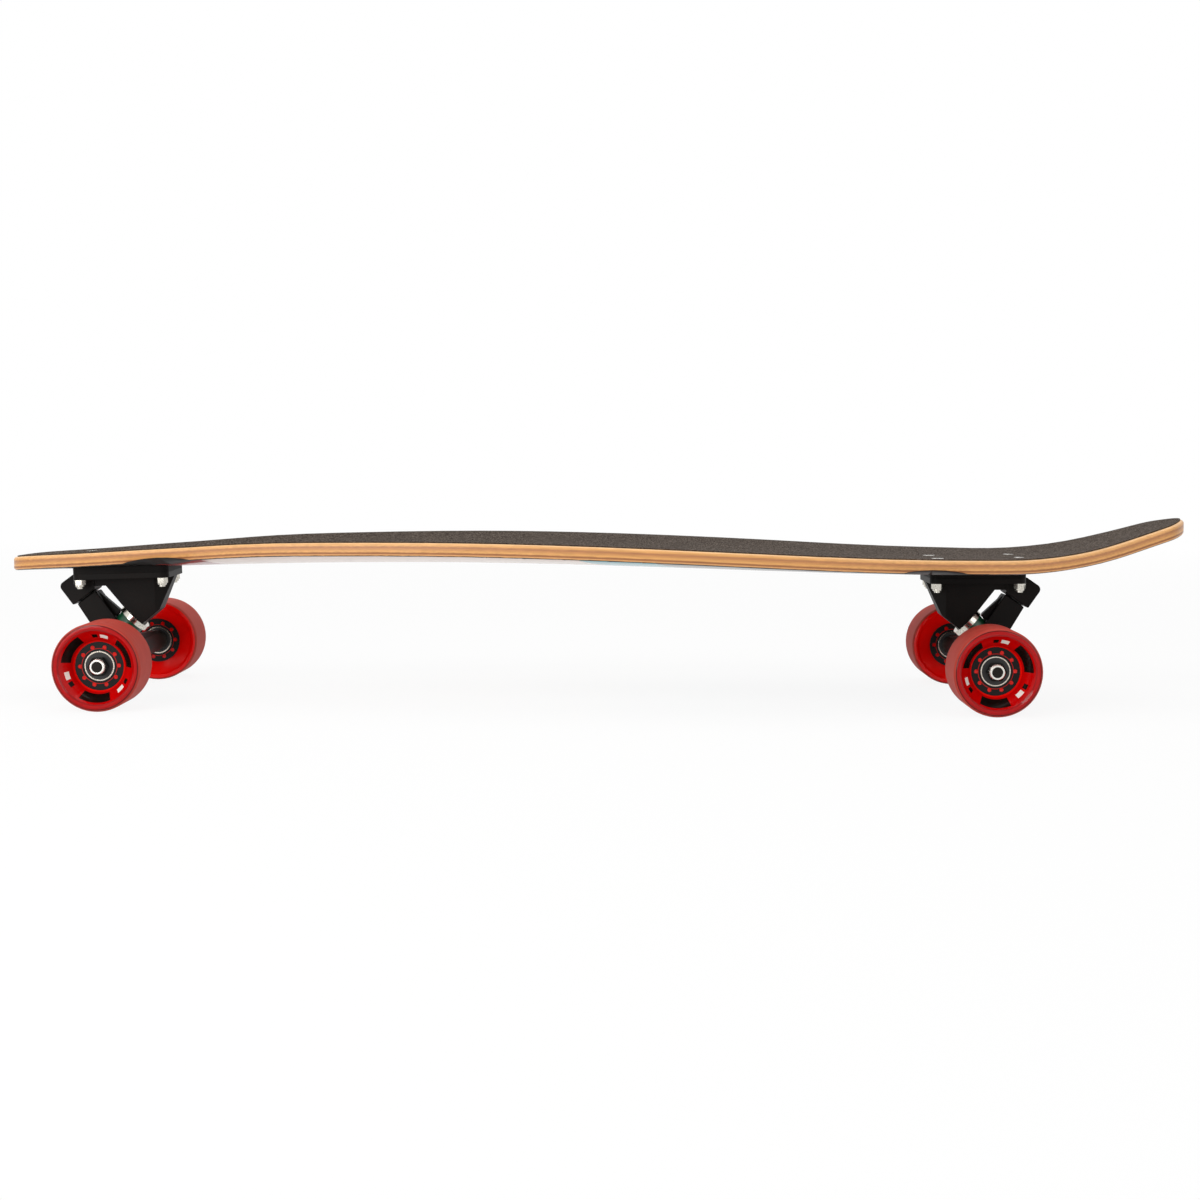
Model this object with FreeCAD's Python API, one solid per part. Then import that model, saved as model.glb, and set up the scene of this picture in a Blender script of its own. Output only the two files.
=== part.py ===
import FreeCAD, Part
import math
import os

# Longboard skateboard: a cambered plywood deck with a kicktail on two sprung trucks and four cored wheels.
# Millimetres and degrees. X runs from nose to tail, Z is up, and the wheels stand on Z = 0.

Vector = FreeCAD.Vector

# Layout of the board
deck_length = 910.8
deck_width = 216.0
nose_overhang = 92.2
wheelbase = 655.6
front_tilt = 2.0
rear_tilt = -0.5

# Deck: straight nose, cambered middle, kicktail, and edges raised by the concave
deck_thickness = 10.5
edge_round = 2.5
camber_rise = 3.0
mount_flat = 30.0
kick_start = 10.5
kick_radius = 336.0
kick_angle = 16.9
nose_concave_radius = 205.0
tail_concave_radius = 1150.0
concave_start_share = 0.194
concave_blend = 60.0
station_count = 36
grip_thickness = 0.8
glue_thickness = 0.2
overrun = 6.0

# Half outline from nose to tail: share of the length, share of half the width
outline_shares = (
    (0.0085, 0.171),
    (0.030, 0.250),
    (0.0625, 0.303),
    (0.100, 0.375),
    (0.150, 0.452),
    (0.200, 0.556),
    (0.300, 0.729),
    (0.400, 0.872),
    (0.500, 0.963),
    (0.600, 1.000),
    (0.680, 0.970),
    (0.750, 0.880),
    (0.800, 0.806),
    (0.850, 0.713),
    (0.900, 0.584),
    (0.945, 0.444),
    (0.967, 0.376),
    (0.982, 0.326),
    (0.992, 0.225),
)

# Wheel wells scooped out of the deck's lower edge
well_length = 60.0
well_depth = 3.4
well_reach = 13.0
front_well_offset = 37.0
rear_well_offset = 45.0

# Mounting hardware
pattern_length = 63.5
pattern_width = 41.3
bolt_diameter = 4.8
bolt_head_diameter = 9.6
bolt_socket_width = 3.2
bolt_socket_depth = 1.8
bolt_thread_out = 1.2
hole_clearance = 0.2
nut_chamfer = 0.5
nut_width = 8.0
nut_hex_height = 4.2
nut_collar_height = 1.7
nut_collar_diameter = 7.2

# Riser pad and baseplate
riser_thickness = 3.3
flange_length = 74.0
flange_offset = 1.5
flange_width = 56.0
flange_thickness = 4.5
flange_corner = 6.0
truck_height = 58.4
bolt_offset = 2.5
bracket_width = 20.0
bracket_tip_width = 11.0
bracket_taper_length = 15.0
bracket_depth = 17.9
bracket_spread = 1.7
seat_outer_length = 12.0
seat_inner_length = 8.5
web_drop = 6.0
web_corner_offset = 17.2
housing_width = 22.0
housing_mouth_width = 21.0
housing_depth = 19.0
housing_round = 4.0
casting_round = 1.0

# Pivot and steering axis
pivot_offset = 36.1
pivot_drop = 8.4
pivot_diameter = 10.0
pivot_clearance = 0.08
pivot_mouth = 7.2
pivot_gap = 1.0
cup_wall = 2.0
cup_lip = 0.5

# Kingpin, bushings and cup washers
kingpin_angle = 46.2
kingpin_diameter = 9.5
kingpin_depth = 18.0
kingpin_thread_out = 2.5
kingpin_chamfer = 0.8
kingpin_nut_width = 14.3
kingpin_nut_hex_height = 6.0
kingpin_nut_collar_height = 2.4
kingpin_nut_collar_diameter = 12.6
bushing_diameter = 22.0
upper_bushing_height = 16.0
lower_bushing_height = 14.0
lower_bushing_end_diameter = 19.0
bushing_clearance = 0.25
bushing_chamfer = 1.0
washer_thickness = 1.8
washer_lip_height = 2.4
washer_wall = 1.2

# Hanger
ring_offset = 12.5
ring_rise = 12.3
ring_diameter = 34.0
ring_thickness = 9.0
ring_hole_diameter = 15.0
bushing_room = 0.6
arm_width = 18.0
arm_inner = 9.7
arm_outer = 8.0
arm_flare = 2.5
ridge_width = 6.0
ridge_height = 4.7
ridge_length = 22.0
hanger_width = 156.0
tube_diameter = 16.0
wing_root_width = 28.0
wing_span = 92.0
rib_width = 7.0
rib_reach = 71.0
rib_root_height = 13.0
rib_end_height = 9.0

# Axle, bearings and spacer
axle_diameter = 8.0
axle_thread_out = 0.6
axle_chamfer = 0.6
axle_nut_width = 13.0
axle_nut_hex_height = 4.4
axle_nut_collar_height = 2.0
axle_nut_collar_diameter = 11.4
speed_washer_diameter = 12.0
speed_washer_thickness = 1.0
bearing_diameter = 22.0
bearing_width = 7.0
bearing_outer_land = 18.0
bearing_inner_land = 12.0
ball_count = 7
ball_diameter = 3.969
ball_pitch_diameter = 15.0
ball_clearance = 0.05
cage_inner_diameter = 13.4
cage_outer_diameter = 16.6
cage_start = 0.5
cage_end = 2.4
shield_diameter = 20.2
shield_thickness = 0.3
shield_recess = 0.3
shield_clearance = 0.15
spacer_length = 10.0
spacer_diameter = 11.0

# Wheel
wheel_diameter = 65.0
wheel_width = 40.0
wheel_inset = 3.7
lip_round = 3.0
lip_step = 1.2
lip_inner_diameter = 57.0
dish_diameter = 54.0
core_diameter = 35.8
core_hub_diameter = 25.0
core_shoulder_diameter = 19.0
core_flange_thickness = 3.0
core_hole_count = 10
core_hole_diameter = 3.0
core_hole_pitch_diameter = 28.5

deck_half = deck_length / 2
front_axle_x = nose_overhang - deck_half
rear_axle_x = front_axle_x + wheelbase
axle_height = wheel_diameter / 2
flange_top = truck_height + flange_thickness
deck_under = flange_top + riser_thickness
deck_top = deck_under + deck_thickness
nut_height = nut_hex_height + nut_collar_height
nut_bottom = truck_height - nut_height

along_y = Vector(0, 1, 0)
along_z = Vector(0, 0, 1)
origin = Vector(0, 0, 0)


class Truck:
    """One truck's place: its own frame has the axle at the origin, U towards mid-board and W up."""

    def __init__(self, name, axle_x, inward, tilt):
        self.name = name
        self.axle_x = axle_x
        self.inward = inward
        self.tilt = math.radians(tilt)
        turn = FreeCAD.Rotation(along_z, 0 if inward > 0 else 180)
        lean = FreeCAD.Rotation(along_y, -tilt)
        self.placement = FreeCAD.Placement(Vector(axle_x, 0, axle_height), turn.multiply(lean))

    def place(self, shape):
        """Return the shape moved from the truck's frame to the board's."""
        placed = shape.copy()
        placed.Placement = self.placement.multiply(placed.Placement)
        return placed

    def point(self, u, w):
        """Return a board-frame point for a place in the truck's frame."""
        return self.placement.multVec(Vector(u, 0, w))

    def height_of(self, x, z):
        """Return W of a board-frame point."""
        return (z - axle_height) * math.cos(self.tilt) - self.inward * (x - self.axle_x) * math.sin(self.tilt)

    def side_name(self, side):
        """Return left or right for a side of the truck's own frame."""
        return "right" if side * self.inward > 0 else "left"


front = Truck("front", front_axle_x, 1, front_tilt)
rear = Truck("rear", rear_axle_x, -1, rear_tilt)
trucks = (front, rear)


# Outlines and turned shapes

def rounded_wire(corners, to_point):
    """Return a closed wire through corners (a, b, radius), with an arc at each corner that has a radius."""
    edges = []
    ends = []
    count = len(corners)
    for index in range(count):
        a, b, radius = corners[index]
        here = Vector(a, b, 0)
        before = Vector(corners[index - 1][0], corners[index - 1][1], 0) - here
        after = Vector(corners[(index + 1) % count][0], corners[(index + 1) % count][1], 0) - here
        before.normalize()
        after.normalize()
        if radius == 0:
            ends.append((here, None, here))
            continue
        half = before.getAngle(after) / 2
        middle = (before + after).normalize()
        start = here + before * (radius / math.tan(half))
        end = here + after * (radius / math.tan(half))
        top = here + middle * (radius / math.sin(half) - radius)
        ends.append((start, top, end))
    for index in range(count):
        start, top, end = ends[index]
        following = ends[(index + 1) % count][0]
        if top is not None:
            edges.append(Part.Arc(*[to_point(p.x, p.y) for p in (start, top, end)]).toShape())
        if end.distanceToPoint(following) > Part.Precision.confusion():
            line = Part.LineSegment(to_point(end.x, end.y), to_point(following.x, following.y))
            edges.append(line.toShape())
    return Part.Wire(edges)


def side_block(corners, width):
    """Return a block with a side outline (u, w, radius) and a width across the board."""
    wire = rounded_wire(corners, lambda u, w: Vector(u, -width / 2, w))
    return Part.Face(wire).extrude(along_y * width)


def plain(points):
    """Return corners without rounding."""
    return [(a, b, 0) for a, b in points]


def turned(corners, base, axis):
    """Return a solid turned about an axis from corners (distance from it, distance along it, radius)."""
    wire = rounded_wire(corners, lambda r, along: Vector(r, along, 0))
    solid = Part.Face(wire).revolve(origin, along_y, 360)
    turn = FreeCAD.Rotation(along_y, axis)
    solid.Placement = FreeCAD.Placement(base, turn)
    return solid


def tube(outer, inner, length, base, axis):
    """Return a plain tube from its diameters."""
    bar = Part.makeCylinder(outer / 2, length, base, axis)
    return bar.cut(Part.makeCylinder(inner / 2, length, base, axis))


def hexagon(across_flats, height, base, axis):
    """Return a hexagonal bar."""
    corner = across_flats / math.sqrt(3)
    points = []
    for index in range(7):
        turn = math.radians(60 * index)
        points.append(Vector(corner * math.cos(turn), corner * math.sin(turn), 0))
    bar = Part.Face(Part.makePolygon(points)).extrude(along_z * height)
    bar.Placement = FreeCAD.Placement(base, FreeCAD.Rotation(along_z, axis))
    return bar


def lock_nut(width, hex_height, collar_height, collar, bore, base, axis):
    """Return a lock nut: a hexagon with a narrower chamfered collar at its far end."""
    body = hexagon(width, hex_height, base, axis)
    height = hex_height + collar_height
    corners = plain([
        (0, 0),
        (collar / 2, 0),
        (collar / 2, height - nut_chamfer),
        (collar / 2 - nut_chamfer, height),
        (0, height),
    ])
    return body.fuse(turned(corners, base, axis)).cut(Part.makeCylinder(bore / 2, height, base, axis))


def softened(shape, radius):
    """Return a casting with all its edges rounded."""
    return shape.makeFillet(radius, shape.Edges)


# Deck form

front_seat = front.point(-bolt_offset, deck_top)
rear_seat = rear.point(-bolt_offset, deck_top)
front_slope = math.tan(front.tilt)
rear_slope = -math.tan(rear.tilt)
arch_start = front_seat.x + mount_flat
arch_end = rear_seat.x - mount_flat
kick_x = rear_seat.x + kick_start
kick_end = kick_x + kick_radius * math.sin(math.radians(kick_angle))


def centre_height(x):
    """Return the height of the deck's top along its middle."""
    if x <= arch_start:
        return front_seat.z + (x - front_seat.x) * front_slope
    if x < arch_end:
        span = arch_end - arch_start
        t = (x - arch_start) / span
        start = front_seat.z + mount_flat * front_slope
        end = rear_seat.z - mount_flat * rear_slope
        ends = start * (2 * t**3 - 3 * t**2 + 1) + end * (3 * t**2 - 2 * t**3)
        slopes = span * front_slope * (t**3 - 2 * t**2 + t) + span * rear_slope * (t**3 - t**2)
        return ends + slopes + camber_rise * 16 * t**2 * (1 - t)**2
    level = rear_seat.z + (x - rear_seat.x) * rear_slope
    if x <= kick_x:
        return level
    if x <= kick_end:
        return level + kick_radius - math.sqrt(kick_radius**2 - (x - kick_x)**2)
    turn = math.radians(kick_angle)
    return level + kick_radius * (1 - math.cos(turn)) + (x - kick_end) * math.tan(turn)


def concave_radius(x):
    """Return the radius of the deck's cross section, which flattens from nose to tail."""
    start = deck_length * concave_start_share - deck_half
    run = x - start
    if abs(run) < concave_blend:
        run = (run + concave_blend)**2 / (4 * concave_blend)
    share = min(max(run / (rear_seat.x - start), 0), 1)
    return nose_concave_radius + (tail_concave_radius - nose_concave_radius) * share


def top_height(x, y):
    """Return the height of the deck's top at a place."""
    return centre_height(x) + y**2 / (2 * concave_radius(x))


def slab(low, high):
    """Return a wide curved slab between two distances above the deck's top surface."""
    half = deck_width / 2 + overrun
    first = -deck_half - overrun
    step = (deck_length + 2 * overrun) / (station_count - 1)
    wires = []
    for index in range(station_count):
        x = first + index * step
        slope = (centre_height(x + step / 2) - centre_height(x - step / 2)) / step
        normal = Vector(-slope, 0, 1).normalize()
        middle = Vector(x, 0, centre_height(x))
        radius = concave_radius(x)
        rise = radius - math.sqrt(radius**2 - half**2)
        lines = []
        for level in (low, high):
            left = middle + normal * (level + rise) - along_y * half
            right = middle + normal * (level + rise) + along_y * half
            lines.append((left, middle + normal * level, right))
        under, over = lines
        edges = [
            Part.Arc(*over).toShape(),
            Part.LineSegment(over[2], under[2]).toShape(),
            Part.Arc(under[2], under[1], under[0]).toShape(),
            Part.LineSegment(under[0], over[0]).toShape(),
        ]
        wires.append(Part.Wire(edges))
    return Part.makeLoft(wires, True, False)


def outline_curve(inset):
    """Return the curve of one half of the deck's outline, drawn in by an inset."""
    half_length = deck_half - inset
    points = [Vector(-half_length, 0, 0)]
    for along, across in outline_shares:
        points.append(Vector(half_length * (2 * along - 1), across * deck_width / 2 - inset, 0))
    points.append(Vector(half_length, 0, 0))
    curve = Part.BSplineCurve()
    curve.interpolate(Points=points, InitialTangent=along_y, FinalTangent=-along_y, Scale=False)
    return curve


def outline_prism(inset):
    """Return an upright prism of the deck's outline, taller than the deck."""
    half = outline_curve(inset).toShape()
    face = Part.Face(Part.Wire([half, half.mirror(origin, along_y)]))
    return face.extrude(along_z * (deck_length / 2))


def edge_at(x):
    """Return the outline's point at a place along the deck, and the direction straight out of it."""
    curve = outline_curve(0)
    low, high = curve.FirstParameter, curve.LastParameter
    while high - low > Part.Precision.confusion():
        middle = (low + high) / 2
        if curve.value(middle).x < x:
            low = middle
        else:
            high = middle
    tangent = curve.tangent(low)[0]
    return curve.value(low), Vector(-tangent.y, tangent.x, 0)


def wheel_well(x, side):
    """Return the cutter of one well: a cylinder that runs out under the deck away from its edge."""
    radius = (well_length**2 / 4 + well_depth**2) / (2 * well_depth)
    edge, outward = edge_at(x)
    inner = edge - outward * well_reach
    start = Vector(inner.x, side * inner.y, top_height(inner.x, inner.y) - deck_thickness)
    end = Vector(edge.x, side * edge.y, top_height(edge.x, edge.y) - deck_thickness + well_depth)
    run = (end - start).normalize()
    along = Vector(outward.y, -side * outward.x, 0)
    down = run.cross(along) * side
    base = start + down * radius
    return Part.makeCylinder(radius, 2 * well_reach, base, run)


def bolt_places(truck):
    """Return the bolts of one truck as (u, v, height of the head's top)."""
    places = []
    for along in (-1, 1):
        for across in (-1, 1):
            u = -bolt_offset + along * pattern_length / 2
            v = across * pattern_width / 2
            x = truck.point(u, deck_top).x
            places.append((u, v, truck.height_of(x, top_height(x, v)) + grip_thickness))
    return places


def bolt_room(truck):
    """Return what the truck's bolts need cut out of the grip, deck, riser and baseplate."""
    hole = bolt_diameter / 2 + hole_clearance
    head = bolt_head_diameter / 2
    rooms = []
    for u, v, top in bolt_places(truck):
        drill = Part.makeCylinder(hole, top - nut_bottom, Vector(u, v, nut_bottom))
        sink = Part.makeCone(hole, head, head - hole, Vector(u, v, top - head + hole))
        mouth = Part.makeCylinder(head, overrun, Vector(u, v, top))
        rooms.append(drill.fuse([sink, mouth]))
    return Part.makeCompound([truck.place(room) for room in rooms])


def make_deck(body):
    """Return the plywood deck with rounded rims, wheel wells and bolt holes."""
    deck = body.common(outline_prism(0))
    rims = [edge for edge in deck.Edges if edge.Length > deck_length / 2]
    deck = deck.makeFillet(edge_round, rims)
    wells = []
    for side in (-1, 1):
        wells.append(wheel_well(front_axle_x + front_well_offset, side))
        wells.append(wheel_well(rear_axle_x - rear_well_offset, side))
    return deck.cut(wells + [bolt_room(truck) for truck in trucks])


def make_grip():
    """Return the sheet of grip tape glued to the deck's top, drawn in to the rounded rim."""
    sheet = slab(glue_thickness, grip_thickness).common(outline_prism(edge_round))
    return sheet.cut([bolt_room(truck) for truck in trucks])


def make_bolts():
    """Return all mounting bolts: countersunk heads with a hexagon socket."""
    head = bolt_head_diameter / 2
    shank = bolt_diameter / 2
    bolts = []
    for truck in trucks:
        for u, v, top in bolt_places(truck):
            foot = nut_bottom - bolt_thread_out
            bolt = Part.makeCylinder(shank, top - foot, Vector(u, v, foot))
            bolt = bolt.fuse(Part.makeCone(shank, head, head - shank, Vector(u, v, top - head + shank)))
            floor = Vector(u, v, top - bolt_socket_depth)
            socket = hexagon(bolt_socket_width, bolt_socket_depth, floor, along_z)
            bolts.append(truck.place(bolt.cut(socket)))
    return Part.makeCompound(bolts)


def make_mounting_nuts():
    """Return the lock nuts under both baseplates."""
    nuts = []
    for truck in trucks:
        for u, v, top in bolt_places(truck):
            base = Vector(u, v, truck_height)
            nut = lock_nut(nut_width, nut_hex_height, nut_collar_height, nut_collar_diameter,
                           bolt_diameter, base, -along_z)
            nuts.append(truck.place(nut))
    return Part.makeCompound(nuts)


# Truck geometry in its own frame

def direction(u, w):
    """Return a unit vector in the truck's middle plane."""
    return Vector(u, 0, w).normalize()


pivot = Vector(-bolt_offset - pivot_offset, 0, truck_height - pivot_drop)
ring_centre = Vector(-ring_offset, 0, ring_rise)
steer_axis = direction(ring_centre.x - pivot.x, ring_centre.z - pivot.z)
steer_length = pivot.distanceToPoint(ring_centre)
steer_normal = Vector(-steer_axis.z, 0, steer_axis.x)
king_axis = direction(-math.sin(math.radians(kingpin_angle)), -math.cos(math.radians(kingpin_angle)))
seat_run = Vector(-king_axis.z, 0, king_axis.x)
ring_top = ring_centre - king_axis * (ring_thickness / 2)
ring_bottom = ring_centre + king_axis * (ring_thickness / 2)
seat = ring_top - king_axis * (upper_bushing_height + washer_thickness)
lower_washer_face = ring_bottom + king_axis * lower_bushing_height
kingpin_nut_face = lower_washer_face + king_axis * washer_thickness
kingpin_bore = kingpin_diameter + 2 * bushing_clearance
flange_inner = flange_length / 2 - flange_offset
flange_outer = -flange_length / 2 - flange_offset


def steer_point(along, across):
    """Return (u, w) at a distance along the steering axis from the pivot and across it towards mid-board."""
    place = pivot + steer_axis * along + steer_normal * across
    return place.x, place.z


def flange_block(base, height):
    """Return a plate with the baseplate's plan outline."""
    corner = Vector(flange_outer, -flange_width / 2, base)
    plate = Part.makeBox(flange_length, flange_width, height, corner)
    uprights = [edge for edge in plate.Edges if abs(edge.tangentAt(edge.FirstParameter).z) == 1]
    return plate.makeFillet(flange_corner, uprights)


def make_riser(truck, body):
    """Return the rubber riser pad, whose top follows the deck's underside."""
    pad = truck.place(flange_block(flange_top, riser_thickness + deck_thickness / 2))
    return pad.cut([body, bolt_room(truck)])


def make_bracket():
    """Return the wedge under the flange that carries the kingpin, narrowed towards mid-board."""
    tip = seat + seat_run * seat_inner_length
    heel = tip - king_axis * bracket_depth + seat_run * bracket_spread
    knee = seat - seat_run * seat_outer_length
    level = truck_height + flange_thickness / 2
    web_level = truck_height - web_drop
    corners = plain([
        (tip.x, tip.z),
        (heel.x, heel.z),
        (flange_inner, truck_height),
        (flange_inner, level),
        (pivot.x, level),
        (pivot.x, web_level),
        (-web_corner_offset, web_level),
        (knee.x, knee.z),
    ])
    block = side_block(corners, bracket_width)
    taper = flange_inner - bracket_taper_length
    plan = []
    for u, width in ((pivot.x, bracket_width), (taper, bracket_width), (flange_inner, bracket_tip_width)):
        plan.append(Vector(u, width / 2, 0))
        plan.insert(0, Vector(u, -width / 2, 0))
    plan.append(plan[0])
    return block.common(Part.Face(Part.makePolygon(plan)).extrude(along_z * flange_top))


def make_housing():
    """Return the block at the flange's outer end that holds the pivot cup."""
    mouth = housing_mouth_width / 2
    inner = steer_point(pivot_mouth, mouth)
    level = truck_height + flange_thickness / 2
    crown = flange_top - casting_round
    back = steer_point(pivot_mouth - housing_depth, -mouth)
    rise = (crown - back[1]) / steer_normal.z
    corners = [
        steer_point(pivot_mouth, -mouth) + (casting_round,),
        back + (housing_round,),
        steer_point(pivot_mouth - housing_depth, rise - mouth) + (casting_round,),
        (inner[0], crown, 0),
        (inner[0], level, 0),
        inner + (0,),
    ]
    return softened(side_block(corners, housing_width), casting_round / 2)


def make_baseplate(truck):
    """Return the cast baseplate: flange, kingpin bracket and pivot housing in one piece."""
    plate = flange_block(truck_height, flange_thickness)
    casting = plate.fuse([make_bracket(), make_housing()])
    cup = pivot_diameter / 2 + cup_wall
    bore = Part.makeCylinder(cup, pivot_mouth + cup + overrun, pivot - steer_axis * cup, steer_axis)
    bottom = seat - king_axis * kingpin_depth
    hole = Part.makeCylinder(kingpin_diameter / 2, kingpin_depth + overrun, bottom, king_axis)
    casting = truck.place(casting.cut([bore, hole]).removeSplitter())
    return casting.cut(bolt_room(truck))


def make_pivot_cup():
    """Return the pivot cup: a round-bottomed sleeve with a thin lip on the housing's mouth."""
    outer = pivot_diameter / 2 + cup_wall
    inner = pivot_diameter / 2 + pivot_clearance
    cup = Part.makeCylinder(outer, outer + pivot_mouth, pivot - steer_axis * outer, steer_axis)
    lip = Part.makeCylinder(outer + cup_wall / 2, cup_lip, pivot + steer_axis * pivot_mouth, steer_axis)
    room = Part.makeCylinder(inner, pivot_mouth + cup_lip, pivot, steer_axis)
    return cup.fuse(lip).cut([room, Part.makeSphere(inner, pivot)]).removeSplitter()


def make_kingpin():
    """Return the kingpin stud, pressed into the bracket and threaded at its lower end."""
    start = seat - king_axis * kingpin_depth
    nut = kingpin_nut_hex_height + kingpin_nut_collar_height
    end = kingpin_nut_face + king_axis * (nut + kingpin_thread_out)
    radius = kingpin_diameter / 2
    length = start.distanceToPoint(end)
    corners = plain([
        (0, 0),
        (radius, 0),
        (radius, length - kingpin_chamfer),
        (radius - kingpin_chamfer, length),
        (0, length),
    ])
    return turned(corners, start, king_axis)


def make_kingpin_nut():
    """Return the kingpin's lock nut."""
    return lock_nut(kingpin_nut_width, kingpin_nut_hex_height, kingpin_nut_collar_height,
                    kingpin_nut_collar_diameter, kingpin_diameter, kingpin_nut_face, king_axis)


def make_bushing(base, height, start_diameter, end_diameter):
    """Return one bushing, chamfered at both ends, from its face on the bracket's side."""
    corners = plain([
        (kingpin_bore / 2, 0),
        (start_diameter / 2 - bushing_chamfer, 0),
        (start_diameter / 2, bushing_chamfer),
        (end_diameter / 2, height - bushing_chamfer),
        (end_diameter / 2 - bushing_chamfer, height),
        (kingpin_bore / 2, height),
    ])
    return turned(corners, base, king_axis)


def make_cup_washer(base, axis, diameter):
    """Return a cup washer that holds a bushing's end in its rim."""
    inner = diameter / 2 + bushing_clearance
    corners = plain([
        (kingpin_bore / 2, 0),
        (inner + washer_wall, 0),
        (inner + washer_wall, washer_thickness + washer_lip_height),
        (inner, washer_thickness + washer_lip_height),
        (inner, washer_thickness),
        (kingpin_bore / 2, washer_thickness),
    ])
    return turned(corners, base, axis)


def make_cup_washers():
    """Return the upper and the lower cup washer."""
    upper = make_cup_washer(seat, king_axis, bushing_diameter)
    lower = make_cup_washer(kingpin_nut_face, -king_axis, lower_bushing_end_diameter)
    return Part.makeCompound([upper, lower])


def make_hanger_wings():
    """Return the plate in the ring's plane that spreads from the ring to the axle tube."""
    drop = -ring_centre.dot(seat_run)
    spans = ((-wing_root_width, 0), (wing_root_width, 0), (wing_span, drop), (-wing_span, drop))
    points = [ring_top + along_y * (width / 2) + seat_run * along for width, along in spans]
    points.append(points[0])
    return Part.Face(Part.makePolygon(points)).extrude(king_axis * ring_thickness)


def make_hanger_rib():
    """Return the rib along the top of the axle tube."""
    points = [
        Vector(-rib_width / 2, -rib_reach, 0),
        Vector(-rib_width / 2, -rib_reach, rib_end_height),
        Vector(-rib_width / 2, 0, rib_root_height),
        Vector(-rib_width / 2, rib_reach, rib_end_height),
        Vector(-rib_width / 2, rib_reach, 0),
        Vector(-rib_width / 2, -rib_reach, 0),
    ]
    return Part.Face(Part.makePolygon(points)).extrude(Vector(rib_width, 0, 0))


def make_hanger():
    """Return the cast hanger: pivot nose, arm, ring and axle tube in one piece."""
    shoulder = pivot_mouth + pivot_gap
    arm = softened(side_block(plain([
        steer_point(shoulder, -arm_outer),
        steer_point(shoulder, arm_inner),
        steer_point(steer_length, arm_inner),
        steer_point(steer_length, -arm_outer - arm_flare),
    ]), arm_width), casting_round)
    ridge = side_block(plain([
        steer_point(shoulder + casting_round, 0),
        steer_point(shoulder + casting_round, arm_inner),
        steer_point(shoulder + ridge_length, arm_inner + ridge_height),
        steer_point(steer_length, arm_inner),
        steer_point(steer_length, 0),
    ]), ridge_width)
    nose = Part.makeCylinder(pivot_diameter / 2, shoulder + casting_round, pivot, steer_axis)
    ball = Part.makeSphere(pivot_diameter / 2, pivot)
    ring = softened(Part.makeCylinder(ring_diameter / 2, ring_thickness, ring_top, king_axis), casting_round)
    bar = Part.makeCylinder(tube_diameter / 2, hanger_width, along_y * (-hanger_width / 2), along_y)
    casting = bar.fuse([make_hanger_wings(), make_hanger_rib(), ring, arm, ridge])
    room = bushing_diameter / 2 + bushing_room
    reach = upper_bushing_height + lower_bushing_height
    cuts = [
        Part.makeCylinder(room, reach, ring_top, -king_axis),
        Part.makeCylinder(room, reach, ring_bottom, king_axis),
        Part.makeCylinder(ring_hole_diameter / 2, ring_thickness, ring_top, king_axis),
        Part.makeCylinder(axle_diameter / 2, hanger_width, along_y * (-hanger_width / 2), along_y),
    ]
    return casting.cut(cuts).fuse([nose, ball]).removeSplitter()


# Stack of pieces on each end of the axle, from the hanger outwards

inner_bearing = hanger_width / 2 + speed_washer_thickness
spacer_start = inner_bearing + bearing_width
outer_bearing = spacer_start + spacer_length
outer_washer = outer_bearing + bearing_width
axle_nut_face = outer_washer + speed_washer_thickness
axle_end = axle_nut_face + axle_nut_hex_height + axle_nut_collar_height + axle_thread_out


def make_axle():
    """Return the axle, a plain bar with chamfered ends."""
    radius = axle_diameter / 2
    corners = plain([
        (0, -axle_end),
        (radius - axle_chamfer, -axle_end),
        (radius, -axle_end + axle_chamfer),
        (radius, axle_end - axle_chamfer),
        (radius - axle_chamfer, axle_end),
        (0, axle_end),
    ])
    return turned(corners, origin, along_y)


def make_axle_nuts():
    """Return the lock nuts at both ends of the axle."""
    nuts = []
    for side in (-1, 1):
        outward = along_y * side
        nuts.append(lock_nut(axle_nut_width, axle_nut_hex_height, axle_nut_collar_height,
                             axle_nut_collar_diameter, axle_diameter, outward * axle_nut_face, outward))
    return Part.makeCompound(nuts)


def make_speed_washers():
    """Return the washers on both sides of each wheel."""
    washers = []
    for side in (-1, 1):
        outward = along_y * side
        for start in (hanger_width / 2, outer_washer):
            washers.append(tube(speed_washer_diameter, axle_diameter, speed_washer_thickness,
                                outward * start, outward))
    return Part.makeCompound(washers)


def bearing_centres(side):
    """Return the centres of the two bearings of one wheel."""
    middle = bearing_width / 2
    return [along_y * (side * (start + middle)) for start in (inner_bearing, outer_bearing)]


def bearing_ring(inner, outer, centre):
    """Return a bearing ring with its ball groove."""
    start = centre - along_y * (bearing_width / 2)
    ring = tube(outer, inner, bearing_width, start, along_y)
    groove = Part.makeTorus(ball_pitch_diameter / 2, ball_diameter / 2 + ball_clearance, centre, along_y)
    return ring.cut(groove)


def make_outer_rings(side):
    """Return the outer rings of one wheel's bearings, with a step for the shield in each face."""
    rings = []
    depth = shield_recess + shield_thickness
    for centre in bearing_centres(side):
        steps = []
        for face in (-1, 1):
            outward = along_y * face
            start = centre + outward * (bearing_width / 2 - depth)
            steps.append(Part.makeCylinder(shield_diameter / 2, depth, start, outward))
        rings.append(bearing_ring(bearing_outer_land, bearing_diameter, centre).cut(steps))
    return Part.makeCompound(rings)


def make_inner_rings(side):
    """Return the inner rings of one wheel's bearings."""
    rings = [bearing_ring(axle_diameter, bearing_inner_land, centre) for centre in bearing_centres(side)]
    return Part.makeCompound(rings)


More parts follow.
